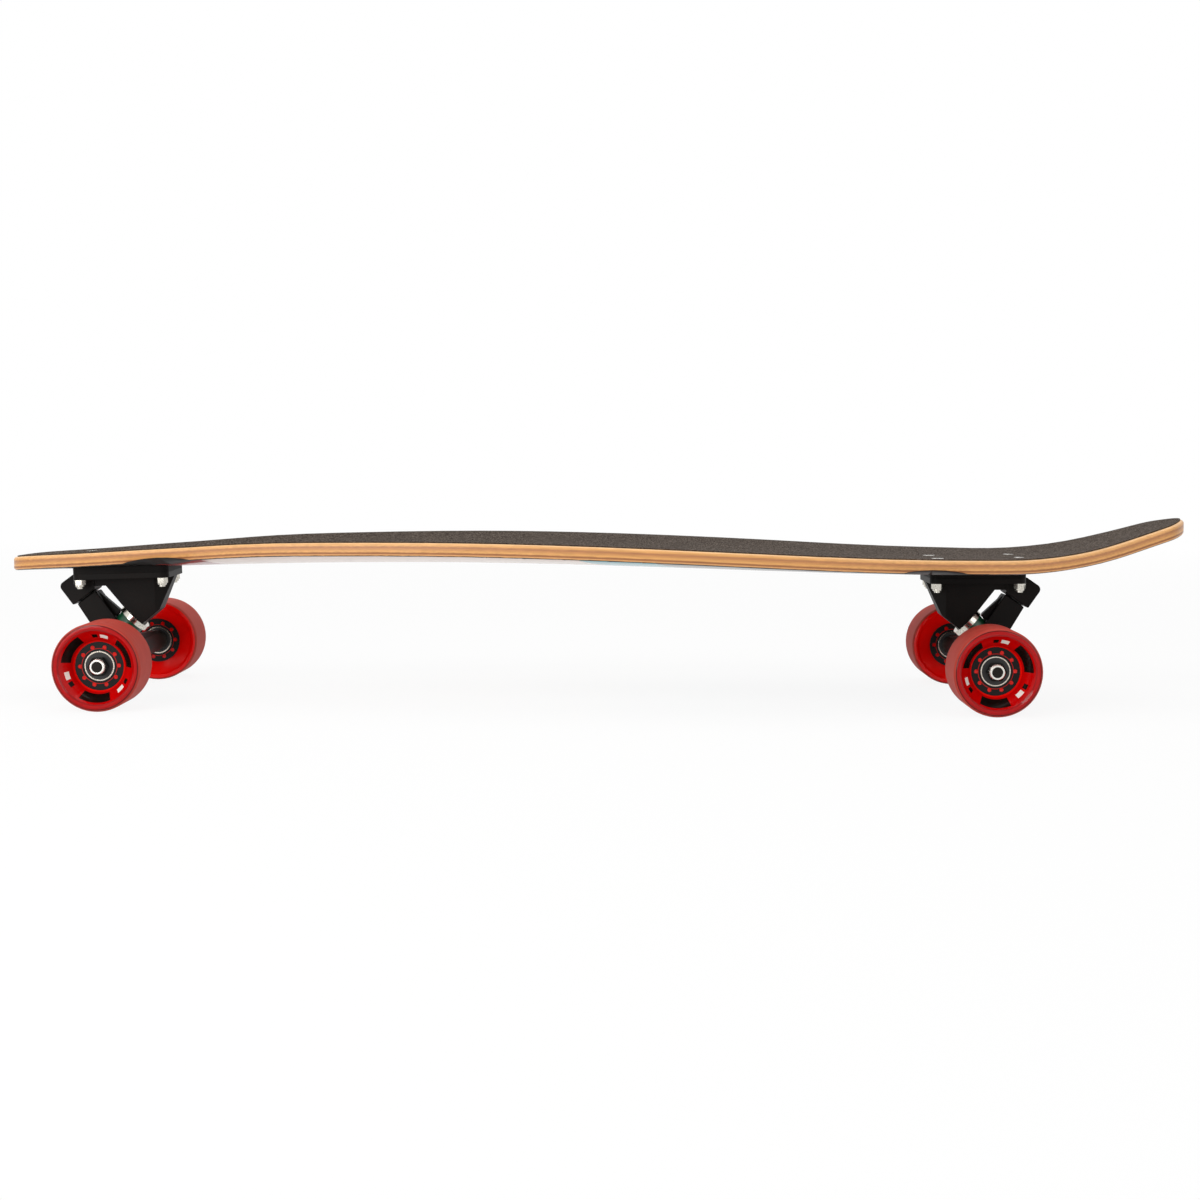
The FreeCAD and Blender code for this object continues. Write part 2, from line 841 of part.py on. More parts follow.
def bearing_balls(centre, diameter):
    """Return the balls of one bearing."""
    balls = []
    for index in range(ball_count):
        turn = 2 * math.pi * index / ball_count
        arm = Vector(math.cos(turn), 0, math.sin(turn)) * (ball_pitch_diameter / 2)
        balls.append(Part.makeSphere(diameter / 2, centre + arm))
    return balls


def make_balls(side):
    """Return the balls of one wheel's bearings."""
    balls = []
    for centre in bearing_centres(side):
        balls += bearing_balls(centre, ball_diameter)
    return Part.makeCompound(balls)


def make_cages(side):
    """Return the crown cages that keep the balls apart."""
    cages = []
    for centre in bearing_centres(side):
        start = centre + along_y * cage_start
        crown = tube(cage_outer_diameter, cage_inner_diameter, cage_end - cage_start, start, along_y)
        cages.append(crown.cut(bearing_balls(centre, ball_diameter + 2 * ball_clearance)))
    return Part.makeCompound(cages)


def make_shields(side):
    """Return the thin shields on both faces of each bearing."""
    shields = []
    reach = bearing_width / 2 - shield_recess
    for centre in bearing_centres(side):
        for face in (-1, 1):
            outward = along_y * face
            start = centre + outward * (reach - shield_thickness)
            shields.append(tube(shield_diameter, bearing_inner_land + 2 * shield_clearance,
                                shield_thickness, start, outward))
    return Part.makeCompound(shields)


def make_spacer(side):
    """Return the spacer between the inner rings."""
    outward = along_y * side
    return tube(spacer_diameter, axle_diameter, spacer_length, outward * spacer_start, outward)


def make_core(side):
    """Return the wheel's core: a hub with two bearing seats and two perforated flanges."""
    hub = core_hub_diameter / 2
    rim = core_diameter / 2
    seat_radius = bearing_diameter / 2
    shoulder = core_shoulder_diameter / 2
    corners = plain([
        (seat_radius, inner_bearing),
        (rim, inner_bearing),
        (rim, inner_bearing + core_flange_thickness),
        (hub, inner_bearing + core_flange_thickness),
        (hub, outer_washer - core_flange_thickness),
        (rim, outer_washer - core_flange_thickness),
        (rim, outer_washer),
        (seat_radius, outer_washer),
        (seat_radius, outer_bearing),
        (shoulder, outer_bearing),
        (shoulder, spacer_start),
        (seat_radius, spacer_start),
    ])
    outward = along_y * side
    core = turned(corners, origin, outward)
    holes = []
    for index in range(core_hole_count):
        turn = 2 * math.pi * index / core_hole_count
        arm = Vector(math.cos(turn), 0, math.sin(turn)) * (core_hole_pitch_diameter / 2)
        start = arm + outward * inner_bearing
        holes.append(Part.makeCylinder(core_hole_diameter / 2, outer_washer - inner_bearing, start, outward))
    return core.cut(holes)


def make_tyre(side, core):
    """Return the urethane cast round the core and through its holes, dished on both faces."""
    inner_face = inner_bearing - wheel_inset
    outer_face = inner_face + wheel_width
    tread = wheel_diameter / 2
    lip = lip_inner_diameter / 2
    dish = dish_diameter / 2
    corners = [
        (core_hub_diameter / 2, inner_bearing, 0),
        (core_diameter / 2, inner_bearing, 0),
        (dish, inner_face + lip_step, 0),
        (lip, inner_face, 0),
        (tread, inner_face, lip_round),
        (tread, outer_face, lip_round),
        (lip, outer_face, 0),
        (dish, outer_face - lip_step, 0),
        (core_diameter / 2, outer_washer, 0),
        (core_hub_diameter / 2, outer_washer, 0),
    ]
    return turned(corners, origin, along_y * side).cut(core)


def make_wheel(side):
    """Return one wheel's pieces by name."""
    core = make_core(side)
    return {
        "tyre": make_tyre(side, core),
        "core": core,
        "bearing_outer_rings": make_outer_rings(side),
        "bearing_inner_rings": make_inner_rings(side),
        "bearing_balls": make_balls(side),
        "bearing_cages": make_cages(side),
        "bearing_shields": make_shields(side),
        "bearing_spacer": make_spacer(side),
    }


def make_truck():
    """Return the pieces that are alike on both trucks, by name."""
    return {
        "pivot_cup": make_pivot_cup(),
        "kingpin": make_kingpin(),
        "kingpin_nut": make_kingpin_nut(),
        "upper_bushing": make_bushing(seat + king_axis * washer_thickness, upper_bushing_height,
                                      bushing_diameter, bushing_diameter),
        "lower_bushing": make_bushing(ring_bottom, lower_bushing_height,
                                      bushing_diameter, lower_bushing_end_diameter),
        "cup_washers": make_cup_washers(),
        "hanger": make_hanger(),
        "axle": make_axle(),
        "axle_nuts": make_axle_nuts(),
        "speed_washers": make_speed_washers(),
    }


def make_pieces():
    """Return every piece of the board by name, in the board's frame."""
    body = slab(-deck_thickness, 0)
    pieces = {
        "deck": make_deck(body),
        "grip_tape": make_grip(),
        "mounting_bolts": make_bolts(),
        "mounting_nuts": make_mounting_nuts(),
    }
    truck_pieces = make_truck()
    for truck in trucks:
        pieces[truck.name + "_riser_pad"] = make_riser(truck, body)
        pieces[truck.name + "_baseplate"] = make_baseplate(truck)
        for name, shape in truck_pieces.items():
            pieces[truck.name + "_" + name] = truck.place(shape)
    for side in (-1, 1):
        wheel = make_wheel(side)
        for truck in trucks:
            for name, shape in wheel.items():
                pieces["_".join((truck.name, truck.side_name(side), name))] = truck.place(shape)
    return pieces


os.makedirs("parts", exist_ok=True)
for name, shape in make_pieces().items():
    shape.exportStep("parts/" + name + ".step")

for truck in trucks:
    steer = truck.placement.Rotation.multVec(steer_axis)
    print(truck.name, "steering axis through", truck.point(pivot.x, pivot.z), "along", steer)
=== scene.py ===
"""Looks of a longboard skateboard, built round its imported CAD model."""

import logging
import math
from dataclasses import dataclass, field
from enum import Enum
from typing import Any, Iterator

import bmesh
import bpy
from mathutils import Matrix, Vector


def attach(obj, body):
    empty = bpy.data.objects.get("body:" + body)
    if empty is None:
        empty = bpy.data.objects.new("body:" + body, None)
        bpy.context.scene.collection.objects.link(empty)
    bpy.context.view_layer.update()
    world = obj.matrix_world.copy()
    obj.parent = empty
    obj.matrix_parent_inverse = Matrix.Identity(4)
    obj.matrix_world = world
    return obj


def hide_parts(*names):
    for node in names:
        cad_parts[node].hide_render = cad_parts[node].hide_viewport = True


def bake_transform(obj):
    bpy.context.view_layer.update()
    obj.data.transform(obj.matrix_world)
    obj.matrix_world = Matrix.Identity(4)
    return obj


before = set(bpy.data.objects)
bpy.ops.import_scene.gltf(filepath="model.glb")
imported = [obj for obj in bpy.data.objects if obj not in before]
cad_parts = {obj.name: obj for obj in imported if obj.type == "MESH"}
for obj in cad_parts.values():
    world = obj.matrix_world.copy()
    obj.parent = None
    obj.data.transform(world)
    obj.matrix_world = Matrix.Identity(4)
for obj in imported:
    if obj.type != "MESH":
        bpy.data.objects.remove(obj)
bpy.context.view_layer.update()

log = logging.getLogger("longboard")

MM = 0.001
RAMP_STOPS = 2


def linear(hex_colour: str) -> tuple[float, float, float, float]:
    """Turn an sRGB hex colour into linear values.

    Args:
        hex_colour: Six hex digits after a hash sign.

    Returns:
        Red, green, blue and an alpha of one.
    """
    levels = [int(hex_colour[start:start + 2], 16) / 255 for start in (1, 3, 5)]
    toe = [level / 12.92 if level <= 0.04045 else ((level + 0.055) / 1.055) ** 2.4 for level in levels]
    return toe[0], toe[1], toe[2], 1.0


def add_node(
    tree: bpy.types.NodeTree,
    kind: str,
    inputs: dict[str | int, Any] | None = None,
    stops: tuple[tuple[float, str], ...] = (),
    **settings: Any,
) -> bpy.types.Node:
    """Add a node to a tree with its settings, links and colour stops.

    Args:
        tree: The tree that gets the node.
        kind: Blender's name for the kind of node.
        inputs: Socket name or number to a value, or to an output socket to link.
        stops: Place and hex colour of each stop of a colour ramp.
        **settings: The node's own properties.

    Returns:
        The new node.
    """
    node = tree.nodes.new(kind)
    for key, value in settings.items():
        setattr(node, key, value)
    for socket, value in (inputs or {}).items():
        if isinstance(value, bpy.types.NodeSocket):
            tree.links.new(value, node.inputs[socket])
        else:
            node.inputs[socket].default_value = value
    for index, (place, colour) in enumerate(stops):
        elements = node.color_ramp.elements
        element = elements[index] if index < RAMP_STOPS else elements.new(place)
        element.position = place
        element.color = linear(colour)
    return node


class End(Enum):
    """The two ends of the board that carry a truck."""

    FRONT = "front"
    REAR = "rear"


class Side(Enum):
    """The rider's two sides."""

    LEFT = "left"
    RIGHT = "right"


class Finish:
    """A surface finish that makes one Blender material, once."""

    name: str
    centre_mm: tuple[float, float, float]

    def from_axle(self, tree: bpy.types.NodeTree) -> bpy.types.NodeSocket:
        """Measure places from the finish's centre on an axle.

        Args:
            tree: The material's node tree.

        Returns:
            The socket with the place from the centre.
        """
        place = add_node(tree, "ShaderNodeTexCoord").outputs["Object"]
        back = tuple(-value * MM for value in self.centre_mm)
        return add_node(tree, "ShaderNodeMapping", {"Vector": place, "Location": back}).outputs[0]

    def axle_distance(self, tree: bpy.types.NodeTree) -> bpy.types.NodeSocket:
        """Measure how far places are from the axle that runs across the board through the finish's centre.

        Args:
            tree: The material's node tree.

        Returns:
            The socket with the distance.
        """
        flat = add_node(tree, "ShaderNodeVectorMath", {0: self.from_axle(tree), 1: (1, 0, 1)},
                        operation="MULTIPLY").outputs[0]
        return add_node(tree, "ShaderNodeVectorMath", {0: flat}, operation="LENGTH").outputs["Value"]

    def window(self, tree: bpy.types.NodeTree, value: bpy.types.NodeSocket, low: float,
               high: float) -> bpy.types.NodeSocket:
        """Return one where a value lies between two limits and zero elsewhere."""
        return add_node(tree, "ShaderNodeMath", {0: value, 1: (low + high) / 2, 2: (high - low) / 2},
                        operation="COMPARE").outputs[0]

    def material(self) -> bpy.types.Material:
        """Give the finish's material, made on first use.

        Returns:
            The material.
        """
        found = bpy.data.materials.get(self.name)
        if found:
            return found
        made = bpy.data.materials.new(self.name)
        made.use_nodes = True
        made.node_tree.nodes.clear()
        shader = self.shader(made.node_tree)
        add_node(made.node_tree, "ShaderNodeOutputMaterial", {"Surface": shader})
        return made

    def shader(self, tree: bpy.types.NodeTree) -> bpy.types.NodeSocket:
        """Build the shader and return its output socket."""
        raise NotImplementedError

    def dress(self, *names: str) -> None:
        """Put the material on CAD nodes in place of their own.

        Args:
            *names: The nodes' names.
        """
        for name in names:
            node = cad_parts[name]
            node.data.materials.clear()
            node.data.materials.append(self.material())


@dataclass(frozen=True)
class Moulded(Finish):
    """Moulded or coated surface with a fine pebbled skin: rubber, nylon, powder coat."""

    name: str
    colour: str
    pale: str
    roughness: float
    pebble_mm: float
    bump: float = 0.15
    subsurface: float = 0.0
    sheen: float = 0.5
    edge_mm: float = 0.5
    centre_mm: tuple[float, float, float] = (0.0, 0.0, 0.0)
    line_mm: tuple[float, float] | None = None
    line_colour: str = "#B8120D"
    cloud_pebbles: float = 40.0
    colour_span: tuple[float, float] = (0.12, 0.42)
    gloss_spread: tuple[float, float] = (-0.06, 0.08)
    relief_mm: float = 0.1
    glow_mm: float = 4.0

    def shader(self, tree: bpy.types.NodeTree) -> bpy.types.NodeSocket:
        """Build a dull surface whose pebbles shift its colour, gloss and normal.

        Args:
            tree: The material's node tree.

        Returns:
            The shader's output socket.
        """
        place = add_node(tree, "ShaderNodeTexCoord").outputs["Object"]
        pebble = add_node(tree, "ShaderNodeTexNoise", {"Vector": place, "Scale": 1 / (self.pebble_mm * MM),
                                                       "Detail": 3.0}).outputs["Fac"]
        cloud_mm = self.cloud_pebbles * self.pebble_mm
        cloud = add_node(tree, "ShaderNodeTexNoise", {"Vector": place, "Scale": 1 / (cloud_mm * MM),
                                                      "Detail": 2.0}).outputs["Fac"]
        blend = add_node(tree, "ShaderNodeMath", {0: pebble, 1: cloud}, operation="MULTIPLY").outputs[0]
        stops = tuple(zip(self.colour_span, (self.colour, self.pale)))
        colour = add_node(tree, "ShaderNodeValToRGB", {"Fac": blend}, stops).outputs["Color"]
        if self.line_mm:
            inner, outer = (limit * MM for limit in self.line_mm)
            line = self.window(tree, self.axle_distance(tree), inner, outer)
            colour = add_node(tree, "ShaderNodeMix", {0: line, 6: colour, 7: linear(self.line_colour)},
                              data_type="RGBA").outputs[2]
        low, high = (self.roughness + spread for spread in self.gloss_spread)
        gloss = add_node(tree, "ShaderNodeMapRange", {"Value": pebble, "To Min": low,
                                                      "To Max": high}).outputs["Result"]
        worn = add_node(tree, "ShaderNodeBevel", {"Radius": self.edge_mm * MM}).outputs["Normal"]
        normal = add_node(tree, "ShaderNodeBump", {"Height": pebble, "Strength": self.bump, "Normal": worn,
                                                   "Distance": self.relief_mm * MM}).outputs["Normal"]
        return add_node(tree, "ShaderNodeBsdfPrincipled", {
            "Base Color": colour, "Roughness": gloss, "Normal": normal, "IOR": 1.5,
            "Specular IOR Level": self.sheen,
            "Subsurface Weight": self.subsurface, "Subsurface Scale": self.glow_mm * MM,
        }).outputs["BSDF"]


@dataclass(frozen=True)
class Metal(Finish):
    """Bare or plated metal with fine tool marks that vary its gloss. Past a given radius from an axle its
    colour can turn dark, a painted dark reflection.
    """

    name: str
    colour: str
    dull: str
    roughness: float
    mark_mm: float
    edge_mm: float = 0.25
    centre_mm: tuple[float, float, float] = (0.0, 0.0, 0.0)
    painted_dark_from_mm: float = 0.0
    shade: str = "#1C1A18"
    bump: float = 0.08
    colour_span: tuple[float, float] = (0.3, 0.65)
    gloss_spread: tuple[float, float] = (0.12, -0.08)
    relief_mm: float = 0.05

    def shader(self, tree: bpy.types.NodeTree) -> bpy.types.NodeSocket:
        """Build a metal whose marks change its tone and roughness.

        Args:
            tree: The material's node tree.

        Returns:
            The shader's output socket.
        """
        place = add_node(tree, "ShaderNodeTexCoord").outputs["Object"]
        mark = add_node(tree, "ShaderNodeTexNoise", {"Vector": place, "Scale": 1 / (self.mark_mm * MM),
                                                     "Detail": 4.0, "Roughness": 0.6}).outputs["Fac"]
        stops = tuple(zip(self.colour_span, (self.dull, self.colour)))
        colour = add_node(tree, "ShaderNodeValToRGB", {"Fac": mark}, stops).outputs["Color"]
        low, high = (self.roughness + spread for spread in self.gloss_spread)
        gloss = add_node(tree, "ShaderNodeMapRange", {"Value": mark, "To Min": low,
                                                      "To Max": high}).outputs["Result"]
        # Painted dark reflection: past the given radius from the axle the colour turns dark
        if self.painted_dark_from_mm:
            beyond = add_node(tree, "ShaderNodeMath", {0: self.axle_distance(tree), 1: self.painted_dark_from_mm * MM},
                              operation="GREATER_THAN").outputs[0]
            colour = add_node(tree, "ShaderNodeMix", {0: beyond, 6: colour, 7: linear(self.shade)},
                              data_type="RGBA").outputs[2]
        worn = add_node(tree, "ShaderNodeBevel", {"Radius": self.edge_mm * MM}).outputs["Normal"]
        normal = add_node(tree, "ShaderNodeBump", {"Height": mark, "Strength": self.bump, "Normal": worn,
                                                   "Distance": self.relief_mm * MM}).outputs["Normal"]
        return add_node(tree, "ShaderNodeBsdfPrincipled", {
            "Base Color": colour, "Roughness": gloss, "Normal": normal, "Metallic": 1.0,
        }).outputs["BSDF"]


@dataclass(frozen=True)
class Plywood(Finish):
    """Maple plywood cut through its plies: pale long-grain layers between browner cross layers, with a black
    band at the bottom that is partly print and partly painted shade, and a palest top ply that is partly a
    painted highlight.
    """

    name: str = "maple_plywood_edge"
    # Ply colours from the underside (0) to the top (1): the black band up to 0.05 is partly print and partly
    # painted shade on the lower rounding, and the palest stop at the top is partly a painted highlight on the
    # rounded top edge
    stops: tuple[tuple[float, str], ...] = (
        (0.0, "#120D0B"), (0.05, "#120D0B"), (0.07, "#E3A76C"), (0.14, "#DDA066"), (0.17, "#9C653C"),
        (0.27, "#A56D42"), (0.31, "#DFA462"), (0.40, "#DCA05C"), (0.46, "#CB9058"), (0.55, "#C38752"),
        (0.60, "#B37A4E"), (0.68, "#B67D50"), (0.75, "#D79B5C"), (0.86, "#E5AB6A"), (0.96, "#F3C189"),
    )
    grain_length_mm: float = 26.0
    grain_width_mm: float = 0.9
    wander: float = 0.035
    tone_span: tuple[float, float] = (0.3, 0.7)
    tone_range: tuple[float, float] = (0.78, 1.05)
    relief_mm: float = 0.1

    def shader(self, tree: bpy.types.NodeTree) -> bpy.types.NodeSocket:
        """Build the plies from the depth in the UV map, streaked along the board.

        Args:
            tree: The material's node tree.

        Returns:
            The shader's output socket.
        """
        depth = add_node(tree, "ShaderNodeUVMap", uv_map=DeckBoard.uv_name).outputs["UV"]
        place = add_node(tree, "ShaderNodeTexCoord").outputs["Object"]
        along = 1 / (self.grain_length_mm * MM)
        across = 1 / (self.grain_width_mm * MM)
        fibres = add_node(tree, "ShaderNodeMapping", {"Vector": place, "Scale": (along, across, across)})
        streak = add_node(tree, "ShaderNodeTexNoise", {
            "Vector": fibres.outputs[0], "Scale": 1.0, "Detail": 4.0, "Roughness": 0.65,
        }).outputs["Fac"]
        share = add_node(tree, "ShaderNodeSeparateXYZ", {"Vector": depth}).outputs["Y"]
        wander = add_node(tree, "ShaderNodeMapRange", {"Value": streak, "To Min": -self.wander,
                                                       "To Max": self.wander})
        layer = add_node(tree, "ShaderNodeMath", {0: share, 1: wander.outputs["Result"]}, operation="ADD")
        plies = add_node(tree, "ShaderNodeValToRGB", {"Fac": layer.outputs[0]}, self.stops).outputs["Color"]
        tone = add_node(tree, "ShaderNodeMapRange", {
            "Value": streak, "From Min": self.tone_span[0], "From Max": self.tone_span[1],
            "To Min": self.tone_range[0], "To Max": self.tone_range[1],
        }).outputs["Result"]
        colour = add_node(tree, "ShaderNodeVectorMath", {0: plies, 1: tone}, operation="MULTIPLY").outputs[0]
        normal = add_node(tree, "ShaderNodeBump", {"Height": streak, "Strength": 0.12,
                                                   "Distance": self.relief_mm * MM}).outputs["Normal"]
        return add_node(tree, "ShaderNodeBsdfPrincipled", {
            "Base Color": colour, "Roughness": 0.42, "Normal": normal, "IOR": 1.5,
            "Specular IOR Level": 0.35, "Coat Weight": 0.15, "Coat Roughness": 0.25,
        }).outputs["BSDF"]


@dataclass(frozen=True)
class PrintedVeneer(Finish):
    """Lacquered bottom veneer printed with broad slanted bands of flat colour."""

    name: str = "printed_bottom_veneer"
    slant_deg: float = 24.0
    reach_mm: float = 960.0
    grain_length_mm: float = 25.0
    grain_width_mm: float = 1.1
    tone_range: tuple[float, float] = (0.88, 1.1)
    relief_mm: float = 0.1
    stops: tuple[tuple[float, str], ...] = (
        (0.0, "#0E3B2B"), (0.075, "#15110F"), (0.19, "#7A1210"), (0.235, "#D9C4B8"), (0.53, "#2F8F9B"),
        (0.585, "#15110F"), (0.80, "#7A1210"), (0.86, "#D9C4B8"), (0.90, "#0E3B2B"), (0.96, "#15110F"),
    )

    def shader(self, tree: bpy.types.NodeTree) -> bpy.types.NodeSocket:
        """Build hard-edged bands across the board under a glossy lacquer.

        Args:
            tree: The material's node tree.

        Returns:
            The shader's output socket.
        """
        place = add_node(tree, "ShaderNodeTexCoord").outputs["Object"]
        span = 1 / (self.reach_mm * MM)
        turned = add_node(tree, "ShaderNodeMapping", {
            "Vector": place, "Location": (0.5, 0, 0), "Rotation": (0, 0, math.radians(self.slant_deg)),
            "Scale": (span, span, span),
        }).outputs[0]
        share = add_node(tree, "ShaderNodeSeparateXYZ", {"Vector": turned}).outputs["X"]
        bands = add_node(tree, "ShaderNodeValToRGB", {"Fac": share}, self.stops)
        bands.color_ramp.interpolation = "CONSTANT"
        along = 1 / (self.grain_length_mm * MM)
        across = 1 / (self.grain_width_mm * MM)
        fibres = add_node(tree, "ShaderNodeMapping", {"Vector": place, "Scale": (along, across, across)})
        grain = add_node(tree, "ShaderNodeTexNoise", {
            "Vector": fibres.outputs[0], "Scale": 1.0, "Detail": 3.0,
        }).outputs["Fac"]
        tone = add_node(tree, "ShaderNodeMapRange", {"Value": grain, "To Min": self.tone_range[0],
                                                     "To Max": self.tone_range[1]})
        colour = add_node(tree, "ShaderNodeVectorMath", {
            0: bands.outputs["Color"], 1: tone.outputs["Result"],
        }, operation="MULTIPLY").outputs[0]
        normal = add_node(tree, "ShaderNodeBump", {"Height": grain, "Strength": 0.06,
                                                   "Distance": self.relief_mm * MM}).outputs["Normal"]
        return add_node(tree, "ShaderNodeBsdfPrincipled", {
            "Base Color": colour, "Roughness": 0.35, "Normal": normal, "IOR": 1.5,
            "Coat Weight": 0.6, "Coat Roughness": 0.12,
        }).outputs["BSDF"]


@dataclass(frozen=True)
class GritSheet(Finish):
    """Abrasive sheet: dark resin full of small mineral grains, whose glints and grazing sheen are partly
    painted into their colour.
    """

    name: str = "silicon_carbide_grip"
    grit_mm: float = 0.8
    patch_grits: float = 30.0
    patch_span: tuple[float, float] = (0.25, 0.75)
    wear_range: tuple[float, float] = (0.44, 0.56)
    gloss_range: tuple[float, float] = (0.9, 0.5)
    relief_mm: float = 0.3
    # Grain tones: the grey-brown middle and pale top stand partly for the grit's grazing sheen and glints,
    # painted into the colour while its specular is kept low
    stops: tuple[tuple[float, str], ...] = (
        (0.0, "#261F1B"), (0.22, "#41372F"), (0.5, "#5F5349"), (1.0, "#D2C8BE"),
    )

    def shader(self, tree: bpy.types.NodeTree) -> bpy.types.NodeSocket:
        """Build grains as cells, each with its own tone, drawn coarser than real grit so that they show.

        Args:
            tree: The material's node tree.

        Returns:
            The shader's output socket.
        """
        place = add_node(tree, "ShaderNodeTexCoord").outputs["Object"]
        cells = add_node(tree, "ShaderNodeTexVoronoi", {"Vector": place, "Scale": 1 / (self.grit_mm * MM)})
        tone = add_node(tree, "ShaderNodeSeparateXYZ", {"Vector": cells.outputs["Color"]}).outputs["X"]
        patch_mm = self.patch_grits * self.grit_mm
        patch = add_node(tree, "ShaderNodeTexNoise", {"Vector": place, "Scale": 1 / (patch_mm * MM),
                                                      "Detail": 3.0}).outputs["Fac"]
        wear = add_node(tree, "ShaderNodeMapRange", {
            "Value": patch, "From Min": self.patch_span[0], "From Max": self.patch_span[1],
            "To Min": self.wear_range[0], "To Max": self.wear_range[1],
        }).outputs["Result"]
        mixed = add_node(tree, "ShaderNodeMath", {0: tone, 1: wear}, operation="MULTIPLY").outputs[0]
        colour = add_node(tree, "ShaderNodeValToRGB", {"Fac": mixed}, self.stops).outputs["Color"]
        gloss = add_node(tree, "ShaderNodeMapRange", {"Value": tone, "To Min": self.gloss_range[0],
                                                      "To Max": self.gloss_range[1]})
        normal = add_node(tree, "ShaderNodeBump", {
            "Height": cells.outputs["Distance"], "Strength": 0.5, "Distance": self.relief_mm * MM,
        }, invert=True).outputs["Normal"]
        return add_node(tree, "ShaderNodeBsdfPrincipled", {
            "Base Color": colour, "Roughness": gloss.outputs["Result"], "Normal": normal, "IOR": 1.55,
            "Specular IOR Level": 0.05,
        }).outputs["BSDF"]


@dataclass(frozen=True)
class PrintMark:
    """One plain mark that repeats round a wheel's outer face, by its span of a repeat and its radii."""

    start: float
    end: float
    inner_mm: float
    outer_mm: float
    colour: str


